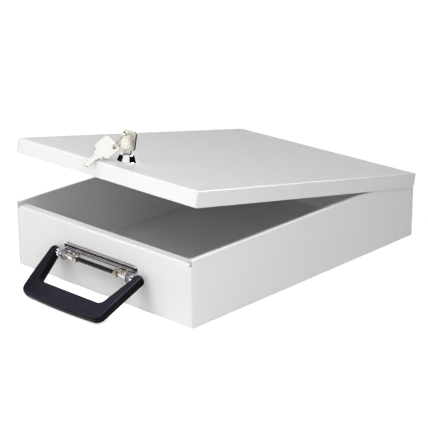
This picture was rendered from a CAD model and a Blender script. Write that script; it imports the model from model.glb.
import math

import bmesh
import bpy
import numpy as np
from mathutils import Matrix, Vector


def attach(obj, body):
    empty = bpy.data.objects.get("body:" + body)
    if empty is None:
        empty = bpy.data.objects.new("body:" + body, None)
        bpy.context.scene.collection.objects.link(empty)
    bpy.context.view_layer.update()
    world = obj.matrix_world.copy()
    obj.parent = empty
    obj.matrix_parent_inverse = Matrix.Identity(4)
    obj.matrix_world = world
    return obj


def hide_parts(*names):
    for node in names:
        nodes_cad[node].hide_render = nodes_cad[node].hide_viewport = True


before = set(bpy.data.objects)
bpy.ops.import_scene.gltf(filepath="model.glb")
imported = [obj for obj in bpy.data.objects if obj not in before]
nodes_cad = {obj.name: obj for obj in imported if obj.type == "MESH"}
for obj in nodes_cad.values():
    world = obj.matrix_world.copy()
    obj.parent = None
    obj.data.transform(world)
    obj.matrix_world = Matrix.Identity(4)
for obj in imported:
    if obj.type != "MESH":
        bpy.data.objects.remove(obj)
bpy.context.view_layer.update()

MM = 0.001
scene = bpy.context.scene
scene.view_settings.view_transform = "Standard"


# ---------- building blocks of the materials ----------
# a new material with a surface shader and texture coordinates
def new_mat(name):
    m = bpy.data.materials.new(name)
    m.use_nodes = True
    nt = m.node_tree
    nt.nodes.clear()
    out = nt.nodes.new("ShaderNodeOutputMaterial")
    bsdf = nt.nodes.new("ShaderNodeBsdfPrincipled")
    nt.links.new(bsdf.outputs[0], out.inputs[0])
    tc = nt.nodes.new("ShaderNodeTexCoord")
    return m, nt, bsdf, tc


def noise(nt, tc, scale, detail=3.0, rough=0.5):
    n = nt.nodes.new("ShaderNodeTexNoise")
    n.inputs["Scale"].default_value = scale
    n.inputs["Detail"].default_value = detail
    n.inputs["Roughness"].default_value = rough
    nt.links.new(tc.outputs["Object"], n.inputs["Vector"])
    return n.outputs["Fac"]


# colours along a value, as stops of (place, colour)
def ramp(nt, value, stops):
    r = nt.nodes.new("ShaderNodeValToRGB")
    elements = r.color_ramp.elements
    while len(elements) < len(stops):
        elements.new(0.5)
    for e, (place, colour) in zip(elements, stops):
        e.position = place
        e.color = (*colour, 1)
    nt.links.new(value, r.inputs[0])
    return r.outputs[0]


# carries the range from_lo..from_hi of a value to lo..hi
def remap(nt, value, from_lo, from_hi, lo=0.0, hi=1.0):
    r = nt.nodes.new("ShaderNodeMapRange")
    for key, x in (("From Min", from_lo), ("From Max", from_hi), ("To Min", lo), ("To Max", hi)):
        r.inputs[key].default_value = x
    nt.links.new(value, r.inputs["Value"])
    return r.outputs[0]


# the part of a noise's range that holds nearly all of its values
NOISE_LO, NOISE_HI = 0.3, 0.7


# a roughness that follows a noise between the two values of rough
def roughen(nt, bsdf, fac, rough):
    nt.links.new(remap(nt, fac, NOISE_LO, NOISE_HI, *rough), bsdf.inputs["Roughness"])


# the base colour with faint clouds, darker by the share vary
def clouded(nt, fac, base, vary):
    dark = tuple(c * (1 - vary) for c in base)
    return ramp(nt, fac, [(NOISE_LO, dark), (NOISE_HI, base)])


# colour a where fac is 0 and b where it is 1; each is a colour or a socket
def mix_colours(nt, fac, a, b):
    factor_in, colour_in, result_out = 0, (6, 7), 2
    mix = nt.nodes.new("ShaderNodeMix")
    mix.data_type = "RGBA"
    nt.links.new(fac, mix.inputs[factor_in])
    for i, c in zip(colour_in, (a, b)):
        if isinstance(c, tuple):
            mix.inputs[i].default_value = (*c, 1)
        else:
            nt.links.new(c, mix.inputs[i])
    return mix.outputs[result_out]


# bumps on the surface, on top of those made before
def bump(nt, bsdf, height, strength, distance, before=None):
    b = nt.nodes.new("ShaderNodeBump")
    b.inputs["Strength"].default_value = strength
    b.inputs["Distance"].default_value = distance
    nt.links.new(height, b.inputs["Height"])
    if before is not None:
        nt.links.new(before, b.inputs["Normal"])
    nt.links.new(b.outputs[0], bsdf.inputs["Normal"])
    return b.outputs[0]


# ---------- kinds of material ----------
# powder coat: a fine grain on a slight waviness
def paint_mat(name, base):
    m, nt, bsdf, tc = new_mat(name)
    clouds = noise(nt, tc, scale=14, detail=4, rough=0.6)
    nt.links.new(clouded(nt, clouds, base, vary=0.015), bsdf.inputs["Base Color"])
    roughen(nt, bsdf, noise(nt, tc, scale=60, detail=2), (0.30, 0.38))
    bsdf.inputs["Specular IOR Level"].default_value = 0.3
    grain = noise(nt, tc, scale=900, detail=2)
    waves = noise(nt, tc, scale=260, detail=1)
    grained = bump(nt, bsdf, grain, strength=0.12, distance=0.00012)
    bump(nt, bsdf, waves, strength=0.06, distance=0.0003, before=grained)
    return m


def metal_finish(nt, bsdf, tc, rough, grain, amount):
    bsdf.inputs["Metallic"].default_value = 1.0
    roughen(nt, bsdf, noise(nt, tc, scale=300, rough=0.6), rough)
    bump(nt, bsdf, noise(nt, tc, scale=grain, detail=2), strength=amount, distance=0.00004)


def metal_colour(nt, tc, base, vary=0.05):
    return clouded(nt, noise(nt, tc, scale=90, detail=5, rough=0.65), base, vary)


# rough is the lowest and the highest roughness, grain the scale of the bumps and amount their
# strength
def metal_mat(name, base, rough, grain, amount=0.02, vary=0.05):
    m, nt, bsdf, tc = new_mat(name)
    nt.links.new(metal_colour(nt, tc, base, vary), bsdf.inputs["Base Color"])
    metal_finish(nt, bsdf, tc, rough, grain, amount)
    return m


# nickel whose cut edges, away from the flat faces of a key, are darker than the faces
def key_mat(name, node, base, cut, rough):
    m, nt, bsdf, tc = new_mat(name)
    face = max(nodes_cad[node].data.polygons, key=lambda f: f.area).normal
    dot = nt.nodes.new("ShaderNodeVectorMath")
    dot.operation = "DOT_PRODUCT"
    nt.links.new(tc.outputs["Normal"], dot.inputs[0])
    dot.inputs[1].default_value = face
    flat = nt.nodes.new("ShaderNodeMath")
    flat.operation = "ABSOLUTE"
    nt.links.new(dot.outputs["Value"], flat.inputs[0])
    on_face = ramp(nt, flat.outputs[0], [(0.6, (0, 0, 0)), (0.9, (1, 1, 1))])
    colour = mix_colours(nt, on_face, cut, metal_colour(nt, tc, base))
    nt.links.new(colour, bsdf.inputs["Base Color"])
    metal_finish(nt, bsdf, tc, rough, grain=600, amount=0.02)
    return m


# in metres: heights just below and above the strip, and depths in front of its ribs between
# which the tint of the ears gives way to the bands
STRIP_Z = (0.0361, 0.0449)
EARS_Y = (-0.1762, -0.1752)
EAR_TINT = (0.42, 0.40, 0.44)


# chrome that has dulled in bands between the ribs of the strip, and on the ears
def plate_mat(name):
    m, nt, bsdf, tc = new_mat(name)
    xyz = nt.nodes.new("ShaderNodeSeparateXYZ")
    nt.links.new(tc.outputs["Object"], xyz.inputs[0])
    foot, low, mid = (0.9, 0.9, 0.89), (0.18, 0.17, 0.18), (0.52, 0.50, 0.50)
    dark, top = (0.055, 0.05, 0.057), (0.56, 0.54, 0.54)
    bands = ramp(nt, remap(nt, xyz.outputs["Z"], *STRIP_Z), [
        (0.0, foot), (0.06, low), (0.14, low), (0.18, mid), (0.44, mid), (0.47, dark),
        (0.66, dark), (0.70, top), (0.93, top), (1.0, dark)])
    behind_ears = remap(nt, xyz.outputs["Y"], *EARS_Y)
    nt.links.new(mix_colours(nt, behind_ears, EAR_TINT, bands), bsdf.inputs["Base Color"])
    metal_finish(nt, bsdf, tc, (0.08, 0.16), grain=700, amount=0.02)
    return m


# moulded plastic with a pebbled grain; marks name values on the mesh's points, each with the
# colour that it brings
def plastic_mat(name, base, rough, grain, amount, spec, marks=()):
    m, nt, bsdf, tc = new_mat(name)
    dark, light = tuple(c * 0.75 for c in base), tuple(c * 1.3 for c in base)
    speckle = noise(nt, tc, scale=grain, detail=4, rough=0.7)
    colour = ramp(nt, speckle, [(0.35, dark), (0.65, light)])
    for mark, c in marks:
        at = nt.nodes.new("ShaderNodeAttribute")
        at.attribute_name = mark
        colour = mix_colours(nt, at.outputs["Fac"], colour, c)
    nt.links.new(colour, bsdf.inputs["Base Color"])
    roughen(nt, bsdf, noise(nt, tc, scale=500), rough)
    bsdf.inputs["Specular IOR Level"].default_value = spec
    cells = nt.nodes.new("ShaderNodeTexVoronoi")
    cells.inputs["Scale"].default_value = grain
    nt.links.new(tc.outputs["Object"], cells.inputs["Vector"])
    pebbled = bump(nt, bsdf, cells.outputs["Distance"], strength=amount, distance=0.00015)
    finer = noise(nt, tc, scale=grain * 1.7, rough=0.6)
    bump(nt, bsdf, finer, strength=amount * 0.6, distance=0.0001, before=pebbled)
    return m


# ---------- the materials ----------
POLISHED = (0.10, 0.17)
PAINT = paint_mat("white_powder_coat", (0.80, 0.80, 0.795))
CHROME = metal_mat("bright_chrome", (0.90, 0.90, 0.89), (0.03, 0.07), grain=700, amount=0.012)
NICKEL = metal_mat("key_nickel", (0.92, 0.89, 0.83), POLISHED, grain=600)
KEY = key_mat("key_nickel_upright", "key", (1.0, 0.955, 0.875), (0.05, 0.047, 0.042), (0.24, 0.32))
SPARE = key_mat("key_nickel_spare", "spare_key", (0.97, 0.955, 0.92), (0.16, 0.15, 0.13), POLISHED)
RING = metal_mat("ring_wire", (0.58, 0.55, 0.47), POLISHED, grain=600)
ZINC = metal_mat("zinc_plate", (0.34, 0.35, 0.365), (0.50, 0.64), grain=1200, amount=0.08, vary=0.12)
PLATE = plate_mat("plate_chrome")
SPRING = metal_mat("spring_wire", (0.50, 0.43, 0.34), (0.16, 0.26), grain=1400)
BLACK = plastic_mat("black_moulding", (0.0205, 0.0187, 0.0295), (0.38, 0.5), grain=700,
                    amount=0.3, spec=0.06,
                    marks=[("lip", (0.002, 0.0018, 0.0035)), ("edge", (0.065, 0.06, 0.085))])
SLEEVE = plastic_mat("black_sleeve", (0.008, 0.008, 0.009), (0.18, 0.28), grain=1800,
                     amount=0.04, spec=0.22)

LOOKS = {
    "base_tray": PAINT, "lid_shell": PAINT,
    "hinge_leaf_lower": ZINC, "hinge_leaf_upper": ZINC, "hinge_pin": ZINC,
    "hinge_rivets_lower": ZINC, "hinge_rivets_upper": ZINC,
    "handle_plate": PLATE, "handle_rivets": CHROME, "handle_axle": CHROME,
    "bow_eye_left": CHROME, "bow_eye_right": CHROME,
    "spring_left": SPRING, "spring_right": SPRING,
    "axle_spacer": SLEEVE, "handle_bow": BLACK,
    "lock_rosette": CHROME, "lock_housing": CHROME, "lock_plug": NICKEL,
    "lock_washer": ZINC, "lock_nut": ZINC, "lock_cam": ZINC, "cam_screw": ZINC,
    "key": KEY, "key_ring": RING, "spare_key": SPARE,
}
for node, look in LOOKS.items():
    mesh = nodes_cad[node].data
    mesh.materials.clear()
    mesh.materials.append(look)


# ---------- pieces ----------
# a smooth piece that takes the place of CAD nodes; points nearer than weld become one, and
# marks are values for the points, by name
def mesh_piece(name, verts, faces, mat, body, nodes, weld=0.0, marks=None):
    bm = bmesh.new()
    marks = marks or {}
    layers = {mark: bm.verts.layers.float.new(mark) for mark in marks}
    points = [bm.verts.new(v) for v in verts]
    for mark, values in marks.items():
        for point, x in zip(points, values):
            point[layers[mark]] = x
    for f in faces:
        bm.faces.new([points[i] for i in f])
    if weld:
        bmesh.ops.remove_doubles(bm, verts=bm.verts[:], dist=weld)
    bmesh.ops.recalc_face_normals(bm, faces=bm.faces[:])
    for f in bm.faces:
        f.smooth = True
    me = bpy.data.meshes.new(name)
    bm.to_mesh(me)
    bm.free()
    o = bpy.data.objects.new(name, me)
    scene.collection.objects.link(o)
    me.materials.append(mat)
    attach(o, body)
    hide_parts(*nodes)


# quads between rings of n points each that follow each other
def ring_faces(rings, n):
    return [(i * n + j, i * n + (j + 1) % n, (i + 1) * n + (j + 1) % n, (i + 1) * n + j)
            for i in range(rings - 1) for j in range(n)]


# ---- the bow of the handle, in millimetres from the axle ----
AXLE_Y, AXLE_Z = -179.5, 33.5
# how far below level the bow rests, its direction away from the axle, and the way its top faces
DROOP = math.radians(29.7)
OUT = np.array((0, -math.cos(DROOP), -math.sin(DROOP)))
TOP = np.array((0, -math.sin(DROOP), math.cos(DROOP)))

# half the width of the bow, the width of an arm, and the bow's thickness
BOW_HALF_W, ARM_W, BOW_T = 64.8, 10.2, 9.0
# from the axle to the middle of the outer edge, how far that edge falls back towards the
# corners, and the depth of the grip
REACH, BULGE, GRIP_D = 59.0, 1.5, 20.3
# distance of the corners' centres from the middle, their radii, and the angle at which the
# outer corner runs into the outer edge
OUTER_CORNER_X, OUTER_CORNER_R, OUTER_CORNER_END = 48.0, 9.0, 86.4
INNER_CORNER_X, INNER_CORNER_R = 38.38, 7.5
# steps of the outline along an arm's round end, its straight side, a corner and half the grip
END_STEPS, SIDE_STEPS, CORNER_STEPS, GRIP_STEPS = 12, 16, 16, 24
# distances from an edge at which the surface has points, closer together where a cut is
# narrower than FULL_W, and the width under which a cut counts as a point
RIM_STEPS = [0.0, 0.03, 0.12, 0.3, 0.6, 1.0, 1.5, 2.1, 2.9, 3.8]
FULL_W, POINT_W = 8.4, 1e-6
# roundings as (width, depth): below, on top along the inner edge, and at the arms' ends
LOW_ROUND, INNER_ROUND, END_ROUND = (1.75, 1.75), (4.2, 2.8), (2.2, 2.2)
# the top's outer rounding is as wide as the ends' and gains this much along the grip, and has
# a limit to its depth
GRIP_ROUND_MORE, ROUND_DEEPEST = 2.0, 3.6
# how far behind the outer edge an arm starts to become the grip, and over what length
GRIP_FROM, GRIP_OVER = 22, 14
# the distance from the outer and from the inner edge at which the lip mark starts to fade, and
# the width over which it does, which is 1 more at the outer edge of the grip
OUTER_LIP, INNER_LIP = (0.2, 0.6), (0.6, 3.2)
# the lip mark's least value on the left arm, how far left of the middle it starts to grow
# towards that, and over what length
LEFT_LIP, LEFT_FROM, LEFT_OVER = 0.6, 12, 40
# the edge mark's distance from the outer edge, half its width, and its loss along the grip
EDGE_AT, EDGE_HALF_W, EDGE_LOSS = 1.5, 0.8, 0.75
# in metres
WELD = 2e-6


# points from p towards q, the last one left out
def stretch(p, q, n):
    return [tuple(np.array(p) + (np.array(q) - np.array(p)) * i / n) for i in range(n)]


def on_circle(c, r, degrees):
    a = math.radians(degrees)
    return c[0] + r * math.cos(a), c[1] + r * math.sin(a)


# points round a corner, the last one left out
def arc(c, r, a0, a1, n):
    return [on_circle(c, r, a0 + (a1 - a0) * i / n) for i in range(n)]


# where a line from p touches a circle: its angle on the circle, and the point
def touch(p, c, r):
    d = math.hypot(c[0] - p[0], c[1] - p[1])
    a = math.degrees(math.atan2(c[1] - p[1], c[0] - p[0]) - math.asin(r / d)) - 90
    return a, on_circle(c, r, a)


# pairs of an outer and an inner point of the outline, from one arm's end to the other's, and
# whether each pair lies on a round end
def bow_outline():
    end_r = ARM_W / 2
    end_x = BOW_HALF_W - end_r
    outer_c = (OUTER_CORNER_X, REACH - BULGE - OUTER_CORNER_R)
    inner_c = (INNER_CORNER_X, REACH - GRIP_D - INNER_CORNER_R)
    outer_a, outer_p = touch((BOW_HALF_W, 0), outer_c, OUTER_CORNER_R)
    inner_a, inner_p = touch((BOW_HALF_W - ARM_W, 0), inner_c, INNER_CORNER_R)
    outer, inner = [], []
    for i in range(END_STEPS):
        a = math.radians(90 - 90 * i / END_STEPS)
        outer.append((end_x + end_r * math.cos(a), -end_r * math.sin(a)))
        inner.append((end_x - end_r * math.cos(a), -end_r * math.sin(a)))
    outer += stretch((BOW_HALF_W, 0), outer_p, SIDE_STEPS)
    inner += stretch((BOW_HALF_W - ARM_W, 0), inner_p, SIDE_STEPS)
    outer += arc(outer_c, OUTER_CORNER_R, outer_a, OUTER_CORNER_END, CORNER_STEPS)
    inner += arc(inner_c, INNER_CORNER_R, inner_a, 90, CORNER_STEPS)
    grip_x = on_circle(outer_c, OUTER_CORNER_R, OUTER_CORNER_END)[0]
    for i in range(GRIP_STEPS + 1):
        x = grip_x * (1 - i / GRIP_STEPS)
        outer.append((x, REACH - BULGE * (x / grip_x) ** 2))
        inner.append((INNER_CORNER_X * (1 - i / GRIP_STEPS), REACH - GRIP_D))
    on_end = [i < END_STEPS for i in range(len(outer))]
    outer += [(-x, y) for x, y in outer[-2::-1]]
    inner += [(-x, y) for x, y in inner[-2::-1]]
    on_end += on_end[-2::-1]
    return zip(outer, inner, on_end)


# how far the surface drops at distance d from an edge that is rounded w wide and h deep
def drop(d, w, h):
    return 0.0 if d >= w else h - h * math.sqrt(max(0, 1 - ((w - d) / w) ** 2))


def clamp(x):
    return min(1, max(0, x))


# 1 up to start, and 0 a further stretch on
def fade(d, start, over):
    return clamp(1 - (d - start) / over)


# one cut through the bow: its points over the top and back below, and two marks for each, lip
# where the moulding is darkest and edge along its paler outer rim
def bow_cut(outer, inner, on_end):
    end_r = ARM_W / 2
    width = math.hypot(outer[0] - inner[0], outer[1] - inner[1])
    at_grip = clamp((outer[1] - REACH + GRIP_FROM) / GRIP_OVER)
    scale = min(1.0, width / FULL_W)
    rim = [d * scale for d in RIM_STEPS]
    top, low, lips, edges = [], [], [], []
    for u in rim + [width / 2] + [width - d for d in rim[::-1]]:
        f = u / width if width > POINT_W else 0.5
        x = outer[0] + (inner[0] - outer[0]) * f
        y = outer[1] + (inner[1] - outer[1]) * f
        if on_end:
            d_out = d_in = max(0, end_r - math.hypot(abs(x) - (BOW_HALF_W - end_r), y))
            outer_w, inner_round, inner_lip = END_ROUND[0], END_ROUND, 0
        else:
            d_out, d_in = u, width - u
            outer_w, inner_round = END_ROUND[0] + GRIP_ROUND_MORE * at_grip, INNER_ROUND
            inner_lip = fade(d_in, *INNER_LIP)
        z_top = BOW_T / 2 - max(drop(d_out, outer_w, min(outer_w, ROUND_DEEPEST)),
                                drop(d_in, *inner_round))
        z_low = -BOW_T / 2 + max(drop(d_out, *LOW_ROUND), drop(d_in, *LOW_ROUND))
        top.append((x, y, z_top))
        low.append((x, y, z_low))
        left_lip = LEFT_LIP * clamp((-x - LEFT_FROM) / LEFT_OVER)
        outer_lip = fade(d_out, OUTER_LIP[0], OUTER_LIP[1] + at_grip)
        lips.append(max(left_lip, outer_lip, inner_lip))
        edges.append(fade(abs(d_out - EDGE_AT), 0, EDGE_HALF_W) * (1 - EDGE_LOSS * at_grip))
    return top + low[::-1], lips + [1.0] * len(low), edges + [0.0] * len(low)


def bow_piece():
    rows, lip, edge = [], [], []
    for outer, inner, on_end in bow_outline():
        row, lips, edges = bow_cut(outer, inner, on_end)
        rows.append(row)
        lip += lips
        edge += edges
    axle = np.array((0, AXLE_Y, AXLE_Z))
    verts = [tuple((axle + (x, 0, 0) + OUT * y + TOP * z) * MM) for row in rows for x, y, z in row]
    mesh_piece("grip_bow", verts, ring_faces(len(rows), len(rows[0])), BLACK, "handle",
               ["handle_bow"], WELD, {"lip": lip, "edge": edge})


# ---- the springs, in millimetres ----
WIRE_R, COIL_R, COIL_PITCH, COILS = 0.6, 3.55, 1.3, 3
LEG_L, LEG_BEND_R = 6.0, 1.5
# from the middle to an ear of the plate, from there back to the sleeve's end, and the gap
# between the sleeve and the coil
EAR_X, SLEEVE_IN, COIL_GAP = 46.0, 20.0, 0.4
# from the wall to the axle, the plate's thickness, and the gap between the plate and the leg
AXLE_OUT, PLATE_T, LEG_GAP = 7.0, 1.1, 0.15
# points along the leg and round a turn, degrees between those of the bend, and sides of the wire
LEG_STEPS, TURN_STEPS, BEND_DEGREES, WIRE_SIDES = 6, 40, 10, 12


# a spring round the axle; side is 1 on the right and -1 on the left
def spring_piece(name, side, nodes):
    start_x = EAR_X - SLEEVE_IN + COIL_GAP + WIRE_R + COILS * COIL_PITCH
    leg_y = AXLE_OUT - PLATE_T - WIRE_R - LEG_GAP
    # the wire's middle, leg first, as (x, y, z, angle of the section)
    line = [(0, leg_y, COIL_R - LEG_BEND_R - LEG_L * (1 - i / LEG_STEPS), 0.0)
            for i in range(LEG_STEPS)]
    for a in (math.radians(v) for v in range(0, 90, BEND_DEGREES)):
        line.append((0, leg_y - LEG_BEND_R + LEG_BEND_R * math.cos(a),
                     COIL_R - LEG_BEND_R + LEG_BEND_R * math.sin(a), a))
    for i in range(TURN_STEPS * COILS + 1):
        a = math.pi / 2 + i * 2 * math.pi / TURN_STEPS
        line.append((i * COIL_PITCH / TURN_STEPS, COIL_R * math.cos(a), COIL_R * math.sin(a), a))
    verts = []
    for x, y, z, a in line:
        for k in range(WIRE_SIDES):
            b = 2 * math.pi * k / WIRE_SIDES
            verts.append((side * (start_x - x - WIRE_R * math.sin(b)) * MM,
                          (AXLE_Y + y + WIRE_R * math.cos(b) * math.cos(a)) * MM,
                          (AXLE_Z + z + WIRE_R * math.cos(b) * math.sin(a)) * MM))
    faces = ring_faces(len(line), WIRE_SIDES)
    faces.append(tuple(range(WIRE_SIDES)))
    faces.append(tuple(range((len(line) - 1) * WIRE_SIDES, len(line) * WIRE_SIDES)))
    mesh_piece(name, verts, faces, SPRING, "tray", nodes)


bow_piece()
spring_piece("coil_right", 1, ["spring_right"])
spring_piece("coil_left", -1, ["spring_left"])


# ---------- stage ----------
def plane(name, size, loc, mat, rot=(0, 0, 0)):
    me = bpy.data.meshes.new(name)
    w, h = size[0] / 2, size[1] / 2
    me.from_pydata([(-w, -h, 0), (w, -h, 0), (w, h, 0), (-w, h, 0)], [], [(0, 1, 2, 3)])
    me.materials.append(mat)
    o = bpy.data.objects.new(name, me)
    scene.collection.objects.link(o)
    o.location = loc
    o.rotation_euler = rot
    return o


# 1 for the rays that show the background: camera, mirror and glass
def seen_ray(nt):
    lp = nt.nodes.new("ShaderNodeLightPath")
    val = lp.outputs["Is Camera Ray"]
    for kind in ("Is Glossy Ray", "Is Transmission Ray"):
        mx = nt.nodes.new("ShaderNodeMath")
        mx.operation = "MAXIMUM"
        nt.links.new(val, mx.inputs[0])
        nt.links.new(lp.outputs[kind], mx.inputs[1])
        val = mx.outputs[0]
    return val


# shader a for the rays that light the object, and b for those that show the background
def mix_by_ray(nt, a, b, out):
    mix = nt.nodes.new("ShaderNodeMixShader")
    nt.links.new(seen_ray(nt), mix.inputs[0])
    nt.links.new(a.outputs[0], mix.inputs[1])
    nt.links.new(b.outputs[0], mix.inputs[2])
    nt.links.new(mix.outputs[0], out.inputs[0])


def diffuse(nt, value):
    d = nt.nodes.new("ShaderNodeBsdfDiffuse")
    d.inputs["Color"].default_value = (value, value, value, 1)
    return d


# a white floor that glows where it shows, less near the object so that its shadow is seen
def floor_mat(name):
    near, far, near_glow, far_glow = 0.3, 1.0, 0.6, 1.0
    lighting_white, shown_white = 0.8, 0.95
    m = bpy.data.materials.new(name)
    m.use_nodes = True
    nt = m.node_tree
    nt.nodes.clear()
    tc = nt.nodes.new("ShaderNodeTexCoord")
    away = nt.nodes.new("ShaderNodeVectorMath")
    away.operation = "LENGTH"
    nt.links.new(tc.outputs["Object"], away.inputs[0])
    glow = nt.nodes.new("ShaderNodeEmission")
    nt.links.new(remap(nt, away.outputs["Value"], near, far, near_glow, far_glow),
                 glow.inputs["Strength"])
    shown = nt.nodes.new("ShaderNodeAddShader")
    nt.links.new(diffuse(nt, shown_white).outputs[0], shown.inputs[0])
    nt.links.new(glow.outputs[0], shown.inputs[1])
    out = nt.nodes.new("ShaderNodeOutputMaterial")
    mix_by_ray(nt, diffuse(nt, lighting_white), shown, out)
    return m


def background(nt, strength):
    b = nt.nodes.new("ShaderNodeBackground")
    b.inputs["Color"].default_value = (1, 1, 1, 1)
    b.inputs["Strength"].default_value = strength
    return b


# the floor lies a little below the object's underside, so that the two faces don't coincide
FLOOR_SIZE, FLOOR_Z = (14, 14), -0.0004
plane("floor", FLOOR_SIZE, (0, 0, FLOOR_Z), floor_mat("floor_white"))

# white behind the object, and no light from it
world = bpy.data.worlds.new("studio")
scene.world = world
world.use_nodes = True
sky = world.node_tree
sky.nodes.clear()
mix_by_ray(sky, background(sky, 0.0), background(sky, 1.0), sky.nodes.new("ShaderNodeOutputWorld"))


# ---------- what shows only in the metal and the paint's gloss ----------
def reflected_only(o):
    for k in ("visible_camera", "visible_diffuse", "visible_shadow", "visible_transmission",
              "visible_volume_scatter"):
        setattr(o, k, False)


def black_mat(name):
    m = bpy.data.materials.new(name)
    m.use_nodes = True
    bsdf = m.node_tree.nodes["Principled BSDF"]
    bsdf.inputs["Base Color"].default_value = (0.004, 0.004, 0.005, 1)
    bsdf.inputs["Specular IOR Level"].default_value = 0.0
    return m


def glow_mat(name, strength):
    m = bpy.data.materials.new(name)
    m.use_nodes = True
    nt = m.node_tree
    nt.nodes.clear()
    out = nt.nodes.new("ShaderNodeOutputMaterial")
    em = nt.nodes.new("ShaderNodeEmission")
    em.inputs["Strength"].default_value = strength
    nt.links.new(em.outputs[0], out.inputs[0])
    return m


# upright black cards round a point near the lock and the handle, as azimuth, width, and
# heights of the lower and upper edge
CARD_MAT = black_mat("card_black")
CARD_DIST, CARD_CENTRE_Y = 0.6, -0.15
CARDS = {
    "card_left": (-42, 1.7, 0.2, 0.62),
    "card_left_low": (-85, 0.5, 0.03, 0.2),
    "card_right": (138, 2.0, 0.02, 0.62),
}
for name, (azimuth, width, z0, z1) in CARDS.items():
    a = math.radians(azimuth)
    middle = (math.sin(a) * CARD_DIST, -math.cos(a) * CARD_DIST + CARD_CENTRE_Y, (z0 + z1) / 2)
    reflected_only(plane(name, (width, z1 - z0), middle, CARD_MAT, (math.pi / 2, 0, a)))

# a bright window behind, for the gloss along the bends of the lid and the rim
WINDOW_AT, WINDOW_SIZE, WINDOW_STRENGTH = Vector((0.5, 1.02, 0.98)), (1.1, 0.8), 20.0
reflected_only(plane("window_rear", WINDOW_SIZE, WINDOW_AT,
                     glow_mat("window_rear", WINDOW_STRENGTH),
                     (-WINDOW_AT).to_track_quat("-Z", "Y").to_euler()))


# ---------- lamps ----------
# a lamp that mirrors don't show
def area_lamp(name, loc, target, size, watts):
    lamp = bpy.data.lights.new(name, "AREA")
    lamp.shape = "RECTANGLE"
    lamp.size, lamp.size_y = size
    lamp.energy = watts
    o = bpy.data.objects.new(name, lamp)
    scene.collection.objects.link(o)
    o.location = loc
    o.rotation_euler = (Vector(target) - Vector(loc)).to_track_quat("-Z", "Y").to_euler()
    o.visible_glossy = False


# place, target, size and watts
LAMPS = {
    "right_high": ((1.3, -0.6, 1.5), (0, 0, 0.05), (0.7, 0.7), 11.1),
    "right_mid": ((1.7, -0.6, 1.25), (0, 0, 0.05), (0.7, 0.7), 2.5),
    "top": ((0.0, -0.25, 1.5), (0, 0, 0), (1.4, 1.4), 3.4),
    "left_high": ((-1.2, -0.8, 1.1), (0, 0, 0.05), (0.9, 0.9), 0.64),
    "right_near": ((0.85, -0.6, 0.3), (0.1, -0.15, 0.05), (0.5, 0.5), 2.6),
    "top_near": ((-0.05, -0.6, 0.65), (0, -0.15, 0.1), (0.7, 0.4), 2.9),
    "front_left": ((-0.45, -1.2, 0.35), (0, -0.15, 0.05), (0.7, 0.4), 3.1),
    "rear_low": ((0.0, 1.5, 0.12), (0, 0.17, 0.04), (0.9, 0.16), 3.8),
    "left_low": ((-1.5, 0.1, 0.12), (0, 0, 0.05), (0.8, 0.2), 1.6),
}
for name, lamp in LAMPS.items():
    area_lamp(name, *lamp)


# ---------- camera ----------
AZIMUTH, ELEVATION, ROLL = (math.radians(v) for v in (43.12, 19.61, -0.21))
# distance and shifts from the origin in millimetres, and focal length in pixels
DISTANCE, SHIFT_RIGHT, SHIFT_UP, FOCAL_PX = 1647.46, -6.59, 37.79, 1542.31
PICTURE_PX, SENSOR_MM = 428, 36
back = Vector((math.sin(AZIMUTH) * math.cos(ELEVATION), -math.cos(AZIMUTH) * math.cos(ELEVATION),
               math.sin(ELEVATION)))
level = Vector((math.cos(AZIMUTH), math.sin(AZIMUTH), 0))
upright = back.cross(level)
right = level * math.cos(ROLL) + upright * math.sin(ROLL)
up = upright * math.cos(ROLL) - level * math.sin(ROLL)
cam = bpy.data.cameras.new("cam")
cam.sensor_width = SENSOR_MM
cam.sensor_fit = "HORIZONTAL"
cam.lens = FOCAL_PX / PICTURE_PX * SENSOR_MM
cam.clip_end = 50
camera = bpy.data.objects.new("camera", cam)
scene.collection.objects.link(camera)
camera.location = (right * SHIFT_RIGHT + up * SHIFT_UP + back * DISTANCE) * MM
camera.rotation_euler = Matrix((right, up, back)).transposed().to_euler()
scene.camera = camera
